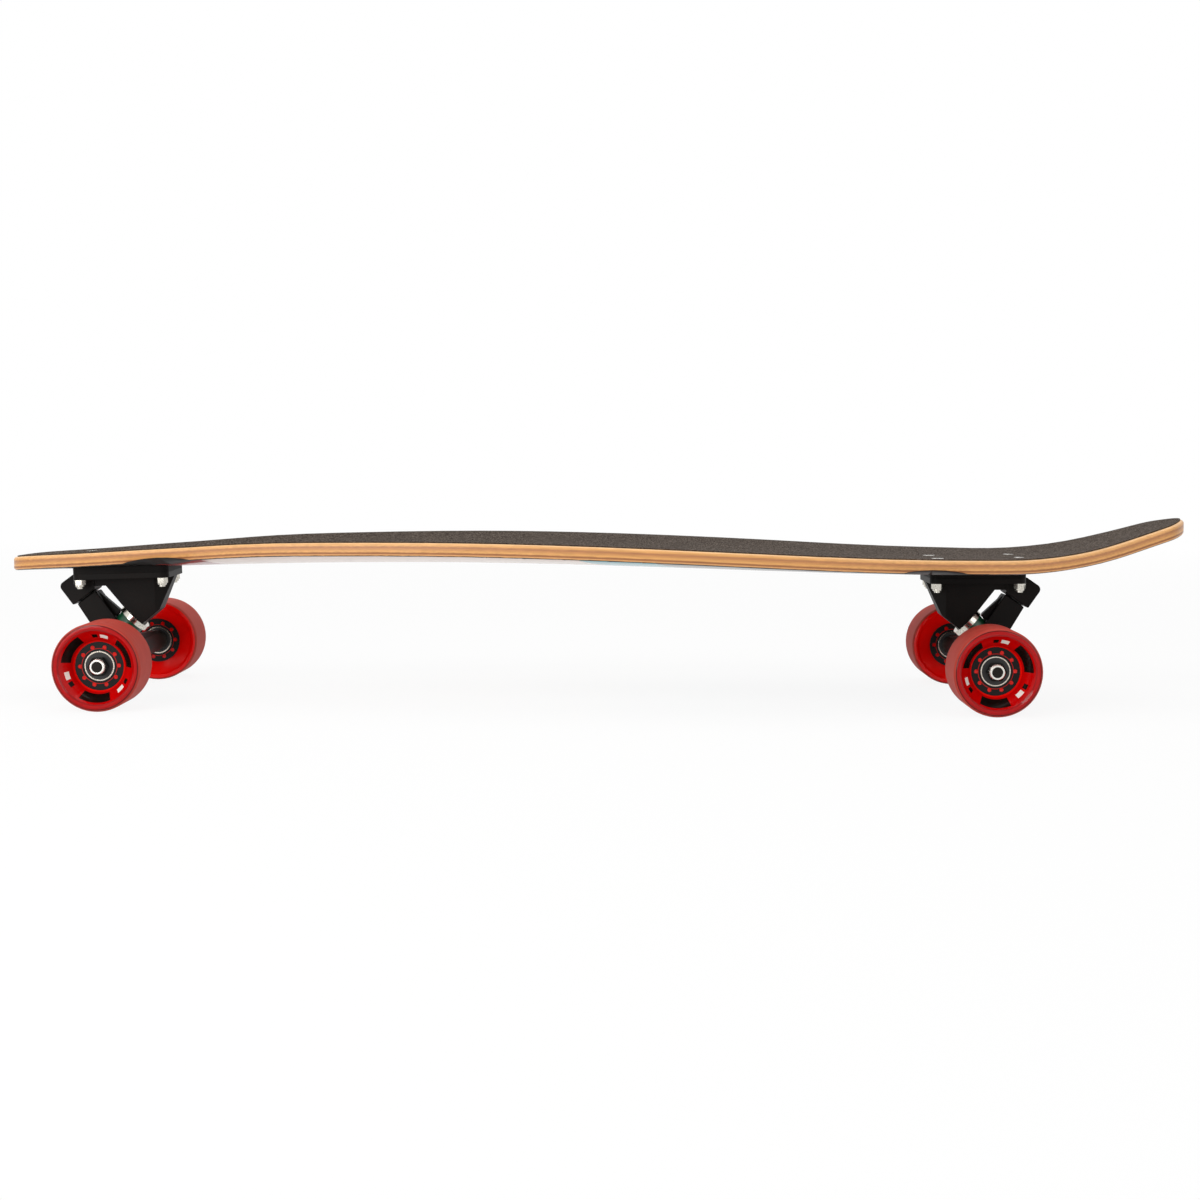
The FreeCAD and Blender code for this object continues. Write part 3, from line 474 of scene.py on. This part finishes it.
@dataclass(frozen=True)
class WheelUrethane(Finish):
    """Cast red urethane: a clear glossy body with plain marks on its outer face and a ground, matt tread. Its
    inner faces are a flat bright red, a painted glow of light through the body, and its outer face has rings
    of painted glow and shade.
    """

    name: str
    centre_mm: tuple[float, float, float]
    reach_mm: float = 34.0
    # Ring colours by distance from the axle, in mm: the bright band next to the core is a painted glow, the
    # darker band at 27.4 mm is painted shade where the face steps down, and the dark band at the rim's edge
    # is painted shade where the face rounds over
    stops: tuple[tuple[float, str], ...] = (
        (17.7, "#F4170D"), (18.7, "#EE0C07"), (19.3, "#B80303"), (22.5, "#C40405"), (26.6, "#B80405"),
        (27.4, "#8C0305"), (28.4, "#AC0607"), (30.4, "#9E0406"), (30.9, "#2E0606"),
    )
    tread: tuple[str, str] = ("#9E2F25", "#B44133")
    tread_radius_mm: float = 31.2
    repeats: int = 3
    marks: tuple[PrintMark, ...] = (
        PrintMark(0.0, 0.44, 20.2, 25.8, "#150C0A"), PrintMark(0.58, 0.7, 21.6, 24.2, "#E6DDD6"),
        PrintMark(0.74, 0.82, 21.6, 24.2, "#150C0A"),
    )
    outer_face_mm: float = 100.0
    # Flat bright red for the inner faces: a painted glow of light passing through the urethane
    inner_face_painted_glow: str = "#FF0C09"
    groove_mm: float = 0.9
    groove_run_mm: float = 16.0
    swirl_mm: float = 14.0
    tone_range: tuple[float, float] = (0.8, 1.15)
    tread_blend_mm: float = 0.1
    line_span: tuple[float, float] = (0.25, 0.75)
    face_roughness: float = 0.1
    tread_roughness: float = 0.65
    face_glow: float = 0.6
    tread_glow: float = 0.2
    glow_radius: tuple[float, float, float] = (1.0, 0.06, 0.05)
    relief_mm: float = 0.1
    glow_mm: float = 9.0

    def shader(self, tree: bpy.types.NodeTree) -> bpy.types.NodeSocket:
        """Build the rings of painted glow and shade by distance from the axle, the painted glow on the inner
        faces, and the marks by the angle round it.

        Args:
            tree: The material's node tree.

        Returns:
            The shader's output socket.
        """
        centred = self.from_axle(tree)
        radius = self.axle_distance(tree)
        parts = add_node(tree, "ShaderNodeSeparateXYZ", {"Vector": centred}).outputs
        tread = add_node(tree, "ShaderNodeMapRange", {
            "Value": radius, "From Min": (self.tread_radius_mm - self.tread_blend_mm) * MM,
            "From Max": (self.tread_radius_mm + self.tread_blend_mm) * MM,
        }).outputs["Result"]
        share = add_node(tree, "ShaderNodeMapRange", {"Value": radius, "From Max": self.reach_mm * MM})
        rings = tuple((distance / self.reach_mm, colour) for distance, colour in self.stops)
        # Painted glow and shade in rings round the axle
        deep = add_node(tree, "ShaderNodeValToRGB", {"Fac": share.outputs["Result"]}, rings).outputs["Color"]
        out = add_node(tree, "ShaderNodeMath", {0: parts["Y"]}, operation="ABSOLUTE").outputs[0]
        face = self.window(tree, out, self.outer_face_mm * MM, 2 * self.outer_face_mm * MM)
        # Inner half takes the painted glow colour, outer half the rings of painted glow and shade
        painted_glow_shade_colour = add_node(tree, "ShaderNodeMix", {0: face, 6: linear(self.inner_face_painted_glow), 7: deep},
                        data_type="RGBA").outputs[2]
        swirl = add_node(tree, "ShaderNodeTexNoise", {"Vector": centred, "Scale": 1 / (self.swirl_mm * MM),
                                                      "Detail": 2.0}).outputs["Fac"]
        tone = add_node(tree, "ShaderNodeMapRange", {"Value": swirl, "To Min": self.tone_range[0],
                                                     "To Max": self.tone_range[1]})
        body = add_node(tree, "ShaderNodeVectorMath", {0: painted_glow_shade_colour, 1: tone.outputs["Result"]},
                        operation="MULTIPLY").outputs[0]
        return self.coat(tree, tread, self.printed(tree, body, parts, radius, face), centred)

    def printed(self, tree: bpy.types.NodeTree, body: bpy.types.NodeSocket, parts: Any,
                radius: bpy.types.NodeSocket, face: bpy.types.NodeSocket) -> bpy.types.NodeSocket:
        """Put the marks on the wheel's outer face.

        Args:
            tree: The material's node tree.
            body: The colour of the faces, with their painted glow and shade.
            parts: The place's X, Y and Z from the wheel's axle.
            radius: The distance from the axle.
            face: One on the wheel's outer half and zero elsewhere.

        Returns:
            The colour of the faces with their marks.
        """
        angle = add_node(tree, "ShaderNodeMath", {0: parts["Z"], 1: parts["X"]},
                         operation="ARCTAN2").outputs[0]
        turns = add_node(tree, "ShaderNodeMath", {0: angle, 1: self.repeats / (2 * math.pi)},
                         operation="MULTIPLY").outputs[0]
        phase = add_node(tree, "ShaderNodeMath", {0: turns}, operation="FRACT").outputs[0]
        for mark in self.marks:
            span = self.window(tree, phase, mark.start, mark.end)
            ring = self.window(tree, radius, mark.inner_mm * MM, mark.outer_mm * MM)
            both = add_node(tree, "ShaderNodeMath", {0: span, 1: ring}, operation="MULTIPLY").outputs[0]
            mask = add_node(tree, "ShaderNodeMath", {0: both, 1: face}, operation="MULTIPLY").outputs[0]
            body = add_node(tree, "ShaderNodeMix", {0: mask, 6: body, 7: linear(mark.colour)},
                            data_type="RGBA").outputs[2]
        return body

    def coat(self, tree: bpy.types.NodeTree, tread: bpy.types.NodeSocket, body: bpy.types.NodeSocket,
             centred: bpy.types.NodeSocket) -> bpy.types.NodeSocket:
        """Join the glossy body and the tread, which has fine lathe lines, in one shader.

        Args:
            tree: The material's node tree.
            tread: One on the tread and zero elsewhere.
            body: The colour of the faces.
            centred: The place from the wheel's axle.

        Returns:
            The shader's output socket.
        """
        round_scale = 1 / (self.groove_run_mm * MM)
        scale = (round_scale, 1 / (self.groove_mm * MM), round_scale)
        stretched = add_node(tree, "ShaderNodeMapping", {"Vector": centred, "Scale": scale}).outputs[0]
        lines = add_node(tree, "ShaderNodeTexNoise", {"Vector": stretched, "Scale": 1.0,
                                                      "Detail": 2.0}).outputs["Fac"]
        stops = tuple(zip(self.line_span, self.tread))
        ground = add_node(tree, "ShaderNodeValToRGB", {"Fac": lines}, stops).outputs["Color"]
        mixed = add_node(tree, "ShaderNodeMix", {0: tread, 6: body, 7: ground}, data_type="RGBA")
        gloss = add_node(tree, "ShaderNodeMapRange", {"Value": tread, "To Min": self.face_roughness,
                                                      "To Max": self.tread_roughness})
        through = add_node(tree, "ShaderNodeMapRange", {"Value": tread, "To Min": self.face_glow,
                                                        "To Max": self.tread_glow})
        depth = add_node(tree, "ShaderNodeMath", {0: lines, 1: tread}, operation="MULTIPLY").outputs[0]
        normal = add_node(tree, "ShaderNodeBump", {"Height": depth, "Strength": 0.15,
                                                   "Distance": self.relief_mm * MM}).outputs["Normal"]
        return add_node(tree, "ShaderNodeBsdfPrincipled", {
            "Base Color": mixed.outputs[2], "Roughness": gloss.outputs["Result"], "Normal": normal,
            "IOR": 1.5, "Specular IOR Level": 0.2,
            "Subsurface Weight": through.outputs["Result"], "Subsurface Radius": self.glow_radius,
            "Subsurface Scale": self.glow_mm * MM,
        }).outputs["BSDF"]


class Finishes:
    """Every finish on the board, by what the piece is made of."""

    # Cut and clear-coated maple: warm stripes of plies with a soft shine, painted shade in the black bottom
    # band and a painted highlight in the palest top ply
    plywood = Plywood()
    # Lacquered print: flat bands of colour under a clear gloss
    veneer = PrintedVeneer()
    # Black in the wells, partly lacquer and partly painted shade that falls there: even black with a dull
    # shine
    well_black_and_shade = Moulded("black_well_lacquer_and_shade", "#0B0908", "#1A1614", roughness=0.4, pebble_mm=0.6,
                         bump=0.05)
    # Silicon carbide grit in resin: dark and dry, with fine pale specks and a grey-brown tone that are partly
    # painted glints and sheen
    grip = GritSheet()
    # Powder coat on cast aluminium: deep black, faint pebble, softly lit edges
    casting = Moulded("black_powder_coated_casting", "#070504", "#15100D", roughness=0.45, pebble_mm=0.7,
                      bump=0.12, sheen=0.1, edge_mm=0.9)
    # Moulded rubber: dull black that hardly reflects
    riser = Moulded("moulded_black_rubber", "#070605", "#14110F", roughness=0.6, pebble_mm=0.8, sheen=0.1)
    # Moulded urethane cup: black with a waxy shine
    pivot_cup = Moulded("moulded_black_urethane", "#0D0D0C", "#20201E", roughness=0.5, pebble_mm=0.8)
    # Cast urethane bushing: dark green, smooth, a little light passes its edges
    bushing = Moulded("cast_green_urethane", "#06301C", "#0B4A2C", roughness=0.3, pebble_mm=1.5,
                      bump=0.05, subsurface=0.15)
    # Moulded bearing seal: flat black disc
    shield = Moulded("moulded_bearing_seal", "#080808", "#161616", roughness=0.5, pebble_mm=0.8)
    # Moulded nylon cage: tan, matt
    cage = Moulded("moulded_tan_nylon", "#3A2F22", "#5A4A36", roughness=0.5, pebble_mm=0.8)
    # Zinc plate: bright, a little warm, with a fine cloud in its gloss
    zinc = Metal("bright_zinc_plate", "#DAD6CC", "#A8A49A", roughness=0.16, mark_mm=0.8)
    # Ground steel: grey with a silky gloss
    steel = Metal("ground_steel", "#8A8681", "#5E5B57", roughness=0.34, mark_mm=0.5)
    # Black oxide: near black with a dull metal glint
    oxide = Metal("black_oxide_steel", "#2E2B28", "#171513", roughness=0.42, mark_mm=0.6)
    # Polished bearing steel: a thin bright ring
    race = Metal("polished_bearing_steel", "#D8D0C4", "#A69E93", roughness=0.18, mark_mm=0.9)


@dataclass
class DeckBoard:
    """The plywood deck: its curve along the middle, its concave and its ply depth."""

    uv_name = "ply_depth"
    thickness: float = 10.5
    front_seat: tuple[float, float] = (-368.375, 109.066)
    rear_seat: tuple[float, float] = (294.231, 109.219)
    front_tilt: float = 2.0
    rear_tilt: float = 0.5
    mount_flat: float = 30.0
    camber_rise: float = 3.0
    kick_start: float = 10.5
    kick_radius: float = 336.0
    kick_angle: float = 16.9
    nose_concave: float = 205.0
    tail_concave: float = 1150.0
    concave_start: float = -278.7
    concave_blend: float = 60.0
    print_limit: float = 0.03
    wells: tuple[float, float] = (-326.2, 247.4)
    well_half: float = 40.0
    well_limit: float = 0.7
    weld_mm: float = 0.01
    crease_deg: float = 30.0

    def centre_height(self, x: float) -> float:
        """Work out the height of the deck's top along its middle.

        Args:
            x: Place along the board, in millimetres.

        Returns:
            The height, in millimetres.
        """
        (fx, fz), (bx, bz) = self.front_seat, self.rear_seat
        front, rear = math.tan(math.radians(self.front_tilt)), math.tan(math.radians(self.rear_tilt))
        start, end = fx + self.mount_flat, bx - self.mount_flat
        if x <= start:
            return fz + (x - fx) * front
        if x < end:
            span, t = end - start, (x - start) / (end - start)
            low, high = fz + self.mount_flat * front, bz - self.mount_flat * rear
            ends = low * (2 * t**3 - 3 * t**2 + 1) + high * (3 * t**2 - 2 * t**3)
            slopes = span * (front * (t**3 - 2 * t**2 + t) + rear * (t**3 - t**2))
            return ends + slopes + self.camber_rise * 16 * t**2 * (1 - t)**2
        turn = math.radians(self.kick_angle)
        run = max(x - bx - self.kick_start, 0)
        arc = min(run, self.kick_radius * math.sin(turn))
        lift = self.kick_radius - math.sqrt(self.kick_radius**2 - arc**2) + (run - arc) * math.tan(turn)
        return bz + (x - bx) * rear + lift

    def depth_share(self, place: Vector) -> float:
        """Work out how far a point is above the underside.

        Args:
            place: The point, in metres.

        Returns:
            The distance as a share of the thickness.
        """
        x, y, z = place / MM
        run = x - self.concave_start
        if abs(run) < self.concave_blend:
            run = (run + self.concave_blend)**2 / (4 * self.concave_blend)
        share = min(max(run / (self.rear_seat[0] - self.concave_start), 0), 1)
        radius = self.nose_concave + (self.tail_concave - self.nose_concave) * share
        top = self.centre_height(x) + radius - math.sqrt(radius**2 - y**2)
        slope = self.centre_height(x + 1) - self.centre_height(x - 1)
        return 1 - (top - z) * math.cos(math.atan2(slope, 2)) / self.thickness

    def build(self) -> bpy.types.Object:
        """Copy the deck's solid, write its ply depth in a UV map and paint its underside.

        Returns:
            The deck's object.
        """
        mesh = bpy.data.meshes.new("deck_plywood")
        bm = bmesh.new()
        bm.from_mesh(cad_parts["deck"].data)
        bmesh.ops.remove_doubles(bm, verts=bm.verts, dist=self.weld_mm * MM)
        layer = bm.loops.layers.uv.new(self.uv_name)
        for face in bm.faces:
            face.smooth = True
            shares = [self.depth_share(vert.co) for vert in face.verts]
            for loop, share in zip(face.loops, shares):
                loop[layer].uv = (loop.vert.co.x, share)
            middle = face.calc_center_median().x / MM
            near_well = any(abs(middle - well) < self.well_half for well in self.wells)
            if max(shares) < self.print_limit:
                face.material_index = 1
            # Downward faces by the wells take the black that is partly painted shade
            elif near_well and face.normal.z < -self.well_limit:
                face.material_index = 2
        bm.to_mesh(mesh)
        bm.free()
        mesh.set_sharp_from_angle(angle=math.radians(self.crease_deg))
        for finish in (Finishes.plywood, Finishes.veneer, Finishes.well_black_and_shade):
            mesh.materials.append(finish.material())
        deck = bpy.data.objects.new("deck_plywood", mesh)
        bpy.context.scene.collection.objects.link(deck)
        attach(deck, "board")
        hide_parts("deck")
        Finishes.grip.dress("grip_tape")
        Finishes.zinc.dress("mounting_bolts", "mounting_nuts")
        return deck


@dataclass
class Truck:
    """One truck: its castings, hardware and its two bushings."""

    end: End
    axle_x: float
    inward: int
    tilt: float
    axle_height: float = 32.5
    ring_offset: float = 12.5
    ring_rise: float = 12.3
    ring_thickness: float = 9.0
    kingpin_angle: float = 46.2
    bore: float = 5.0
    radius: float = 11.0
    end_radius: float = 9.5
    upper_height: float = 16.0
    lower_height: float = 14.0
    waist: float = 0.5
    corner: float = 1.2
    rings: int = 12
    segments: int = 64
    nut_collar: float = 5.75
    weld_mm: float = 0.001
    crease_deg: float = 35.0

    def matrix(self) -> Matrix:
        """Work out the truck's turn and place on the board.

        Returns:
            The matrix from the truck's own frame, in millimetres, to the board's, in metres.
        """
        turn = Matrix.Rotation(0 if self.inward > 0 else math.pi, 4, "Z")
        lean = Matrix.Rotation(-math.radians(self.tilt), 4, "Y")
        place = Matrix.Translation(Vector((self.axle_x, 0, self.axle_height)) * MM)
        return place @ turn @ lean @ Matrix.Scale(MM, 4)

    def king_axis(self) -> Vector:
        """Return the kingpin's direction downwards, in the truck's own frame."""
        turn = math.radians(self.kingpin_angle)
        return Vector((-math.sin(turn), 0, -math.cos(turn)))

    def bushing(self, name: str, start: float, height: float, near: float, far: float,
                ring_first: bool) -> bpy.types.Object:
        """Turn one bushing and place it between the bracket's washer and the hanger's ring.

        Args:
            name: The CAD node that it stands for.
            start: Distance of its upper face from the ring's middle along the kingpin.
            height: Its height along the kingpin.
            near: Its radius at the upper face.
            far: Its radius at the lower face.
            ring_first: True where its upper face is on the ring.

        Returns:
            The bushing's object.
        """
        bm = bmesh.new()
        outline = [(self.bore, 0.0), (near - self.corner, 0.0)]
        for step in range(self.rings + 1):
            share = step / self.rings
            along = self.corner + (height - 2 * self.corner) * share
            squeeze = self.waist * math.sin(math.pi * share)
            outline.append((near + (far - near) * share - squeeze, along))
        outline += [(far - self.corner, height), (self.bore, height)]
        outline += [(self.bore, height * (1 - step / self.rings)) for step in range(1, self.rings)]
        verts = [bm.verts.new((radius, 0, -start - along)) for radius, along in outline]
        edges = [bm.edges.new((verts[index - 1], verts[index])) for index in range(len(verts))]
        bmesh.ops.spin(bm, geom=verts + edges, cent=(0, 0, 0), axis=(0, 0, 1), angle=2 * math.pi,
                       steps=self.segments, use_merge=True)
        bmesh.ops.remove_doubles(bm, verts=bm.verts, dist=self.weld_mm)
        centre = Vector((-self.ring_offset, 0, self.ring_rise))
        aim = (-self.king_axis()).to_track_quat("Z", "Y").to_matrix().to_4x4()
        bmesh.ops.transform(bm, matrix=self.matrix() @ Matrix.Translation(centre) @ aim, verts=bm.verts)
        bmesh.ops.recalc_face_normals(bm, faces=bm.faces)
        for face in bm.faces:
            face.smooth = True
        mesh = bpy.data.meshes.new(name + "_urethane")
        bm.to_mesh(mesh)
        bm.free()
        mesh.set_sharp_from_angle(angle=math.radians(self.crease_deg))
        mesh.materials.append(Finishes.bushing.material())
        piece = bpy.data.objects.new(name + "_urethane", mesh)
        bpy.context.scene.collection.objects.link(piece)
        upper = self.matrix() @ (centre + self.king_axis() * start)
        lower = self.matrix() @ (centre + self.king_axis() * (start + height))
        fixed, moving = (lower, upper) if ring_first else (upper, lower)
        tuple(fixed)
        tuple(moving)
        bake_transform(piece)
        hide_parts(name)
        return piece

    def build(self) -> Iterator[bpy.types.Object]:
        """Dress the castings and hardware and make the two bushings.

        Yields:
            Each bushing's object.
        """
        name = self.end.value
        Finishes.casting.dress(name + "_baseplate", name + "_hanger")
        Finishes.riser.dress(name + "_riser_pad")
        Finishes.pivot_cup.dress(name + "_pivot_cup")
        Finishes.oxide.dress(name + "_kingpin", name + "_axle")
        Finishes.zinc.dress(name + "_kingpin_nut", name + "_cup_washers", name + "_speed_washers")
        # Plated nut: a bright collar round the axle, and the hexagon past it painted dark, a painted dark
        # reflection
        nut = Metal("bright_collared_nut_" + name, "#F0EDE6", "#C9C5BC", roughness=0.22, mark_mm=0.8,
                    painted_dark_from_mm=self.nut_collar, centre_mm=(self.axle_x, 0.0, self.axle_height))
        nut.dress(name + "_axle_nuts")
        half = self.ring_thickness / 2
        yield self.bushing(name + "_upper_bushing", -half - self.upper_height, self.upper_height,
                           self.radius, self.radius, False)
        yield self.bushing(name + "_lower_bushing", half, self.lower_height,
                           self.radius, self.end_radius, True)


@dataclass
class Wheel:
    """One cored wheel and the bearings inside it."""

    end: End
    side: Side
    axle_x: float
    axle_height: float = 32.5
    core_line: tuple[float, float] = (12.7, 13.1)

    def build(self) -> str:
        """Dress the wheel's solids.

        Returns:
            The wheel's name.
        """
        name = f"{self.end.value}_{self.side.value}"
        centre = (self.axle_x, 0.0, self.axle_height)
        # Cast urethane: deep clear red faces with plain marks, and a paler ground tread
        WheelUrethane(f"cast_red_urethane_{self.end.value}", centre).dress(name + "_tyre")
        # Moulded nylon core: smooth black with a low shine and a thin red line through its holes
        Moulded(f"moulded_black_nylon_{self.end.value}", "#080606", "#1A1413", roughness=0.38, pebble_mm=0.8,
                bump=0.08, sheen=0.15, centre_mm=centre, line_mm=self.core_line).dress(name + "_core")
        Finishes.race.dress(*(f"{name}_bearing_{part}" for part in ("outer_rings", "inner_rings", "balls")))
        Finishes.cage.dress(name + "_bearing_cages")
        Finishes.shield.dress(name + "_bearing_shields")
        Finishes.steel.dress(name + "_bearing_spacer")
        return name


@dataclass(frozen=True)
class SoftLamp:
    """One soft box of the studio."""

    name: str
    place: tuple[float, float, float]
    aim: tuple[float, float, float]
    size: float
    power: float

    def build(self) -> None:
        """Add the lamp, turned to what it lights."""
        data = bpy.data.lights.new(self.name, "AREA")
        data.shape = "DISK"
        data.size = self.size
        data.energy = self.power
        lamp = bpy.data.objects.new(self.name, data)
        lamp.location = self.place
        lamp.rotation_euler = (Vector(self.aim) - Vector(self.place)).to_track_quat("-Z", "Y").to_euler()
        bpy.context.scene.collection.objects.link(lamp)


@dataclass
class Studio:
    """White floor, soft light and the camera at the photograph's angle."""

    camera_mm: tuple[float, float, float] = (10.11, -1492.0, 199.9)
    yaw_deg: float = -0.291
    pitch_deg: float = 4.803
    roll_deg: float = -0.313
    lens_mm: float = 57.357
    sensor_mm: float = 36.0
    view_reach: float = 200.0
    floor_half: float = 30.0
    floor_colour: str = "#F2F2F1"
    floor_glow: float = 0.9
    floor_fade: tuple[float, float] = (0.7, 2.4)
    world_strength: float = 0.4
    lamps: list[SoftLamp] = field(default_factory=lambda: [
        SoftLamp("key_soft_box", (-1.3, -1.6, 1.5), (0, 0, 0.08), size=1.4, power=28),
        SoftLamp("low_soft_box", (-1.1, -1.8, 0.3), (-0.36, 0, 0.06), size=0.8, power=7),
        SoftLamp("fill_soft_box", (1.6, -1.5, 1.0), (0, 0, 0.08), size=1.6, power=9),
        SoftLamp("top_soft_box", (0, 0.4, 2.0), (0, 0, 0.08), size=2.0, power=15),
    ])

    def seen_directly(self, tree: bpy.types.NodeTree) -> bpy.types.NodeSocket:
        """Tell rays that show a surface from those that carry its light to the object.

        Args:
            tree: The tree that asks.

        Returns:
            One for camera, glossy and transmission rays and zero for the others.
        """
        path = add_node(tree, "ShaderNodeLightPath").outputs
        shiny = add_node(tree, "ShaderNodeMath", {0: path["Is Glossy Ray"], 1: path["Is Transmission Ray"]},
                         operation="MAXIMUM").outputs[0]
        return add_node(tree, "ShaderNodeMath", {0: path["Is Camera Ray"], 1: shiny},
                        operation="MAXIMUM").outputs[0]

    def build_world(self) -> None:
        """Make the world an even white, at full white only where it is seen."""
        world = bpy.data.worlds.new("white_studio")
        world.use_nodes = True
        tree = world.node_tree
        tree.nodes.clear()
        strength = add_node(tree, "ShaderNodeMapRange", {"Value": self.seen_directly(tree),
                                                         "To Min": self.world_strength, "To Max": 1.0})
        light = add_node(tree, "ShaderNodeBackground", {"Color": (1, 1, 1, 1),
                                                        "Strength": strength.outputs["Result"]})
        add_node(tree, "ShaderNodeOutputWorld", {"Surface": light.outputs[0]})
        bpy.context.scene.world = world

    def build_floor(self) -> None:
        """Lay a pale floor that keeps a light shadow and lets a wheel that dips under it show."""
        bm = bmesh.new()
        bmesh.ops.create_grid(bm, x_segments=1, y_segments=1, size=self.floor_half)
        mesh = bpy.data.meshes.new("floor")
        bm.to_mesh(mesh)
        bm.free()
        paper = bpy.data.materials.new("white_paper_floor")
        paper.use_nodes = True
        tree = paper.node_tree
        tree.nodes.clear()
        place = add_node(tree, "ShaderNodeTexCoord").outputs["Object"]
        away = add_node(tree, "ShaderNodeVectorMath", {0: place}, operation="LENGTH").outputs["Value"]
        white = add_node(tree, "ShaderNodeMapRange", {
            "Value": away, "From Min": self.floor_fade[0], "From Max": self.floor_fade[1],
            "To Min": self.floor_glow, "To Max": 1.0,
        }).outputs["Result"]
        seen = add_node(tree, "ShaderNodeMath", {0: self.seen_directly(tree), 1: white},
                        operation="MULTIPLY").outputs[0]
        shadow = add_node(tree, "ShaderNodeLightPath").outputs["Is Shadow Ray"]
        open_share = add_node(tree, "ShaderNodeMath", {0: seen, 1: shadow}, operation="MAXIMUM").outputs[0]
        matt = add_node(tree, "ShaderNodeBsdfDiffuse", {"Color": linear(self.floor_colour)}).outputs[0]
        clear = add_node(tree, "ShaderNodeBsdfTransparent").outputs[0]
        mixed = add_node(tree, "ShaderNodeMixShader", {0: open_share, 1: matt, 2: clear}).outputs[0]
        add_node(tree, "ShaderNodeOutputMaterial", {"Surface": mixed})
        mesh.materials.append(paper)
        floor = bpy.data.objects.new("floor", mesh)
        bpy.context.scene.collection.objects.link(floor)

    def build_camera(self) -> None:
        """Place the camera that fits the photograph."""
        yaw, pitch, roll = (math.radians(v) for v in (self.yaw_deg, self.pitch_deg, self.roll_deg))
        forward = Vector((math.sin(yaw) * math.cos(pitch), math.cos(yaw) * math.cos(pitch), -math.sin(pitch)))
        right = Vector((math.cos(yaw), -math.sin(yaw), 0))
        down = forward.cross(right)
        tilted = right * math.cos(roll) + down * math.sin(roll)
        up = right * math.sin(roll) - down * math.cos(roll)
        data = bpy.data.cameras.new("photo_camera")
        data.lens = self.lens_mm
        data.sensor_width = self.sensor_mm
        data.clip_end = self.view_reach
        camera = bpy.data.objects.new("photo_camera", data)
        camera.matrix_world = Matrix.Translation(Vector(self.camera_mm) * MM) @ Matrix(
            (tilted, up, -forward)).transposed().to_4x4()
        bpy.context.scene.collection.objects.link(camera)
        bpy.context.scene.camera = camera

    def build(self) -> None:
        """Set up the whole studio."""
        self.build_world()
        self.build_floor()
        self.build_camera()
        for lamp in self.lamps:
            lamp.build()
        bpy.context.scene.view_settings.view_transform = "Standard"


def main() -> None:
    """Build the board's looks and the studio."""
    logging.basicConfig(level=logging.INFO, format="%(name)s: %(message)s")
    log.info("deck %s", DeckBoard().build().name)
    trucks = (
        Truck(End.FRONT, axle_x=-363.2, inward=1, tilt=2.0),
        Truck(End.REAR, axle_x=292.4, inward=-1, tilt=-0.5),
    )
    for truck in trucks:
        for piece in truck.build():
            log.info("bushing %s", piece.name)
        for side in Side:
            log.info("wheel %s", Wheel(truck.end, side, truck.axle_x).build())
    Studio().build()


if __name__ == "__main__":
    main()
